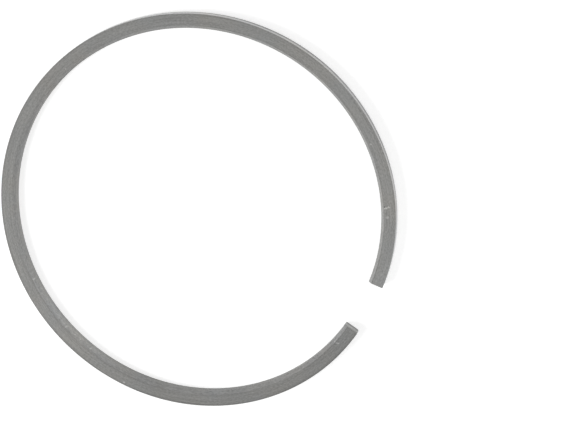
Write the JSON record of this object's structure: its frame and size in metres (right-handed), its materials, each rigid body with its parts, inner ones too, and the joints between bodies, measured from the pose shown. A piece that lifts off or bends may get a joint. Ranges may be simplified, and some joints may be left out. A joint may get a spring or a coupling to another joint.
{
  "type": "piston ring",
  "caption": "Split compression ring in its free state, with square butt ends, a slightly tapered running face and a bevelled inner edge, which seals a piston in its cylinder.",
  "frame": {"origin": "centre of the ring's box, on the plane of the plain flank that it lies on", "axes": "+Z along the ring's axis, out of the bevelled flank; +X through the middle of the gap; the back of the ring is at -X"},
  "size_m": [0.0926, 0.0946, 0.0025],
  "materials": {
    "phosphated_iron": "fine ground cast iron under a matt grey phosphate coat, lighter on the running face and the bevel"
  },
  "bodies": {
    "root": {"piston_ring": "phosphated_iron"}
  },
  "joints": []
}
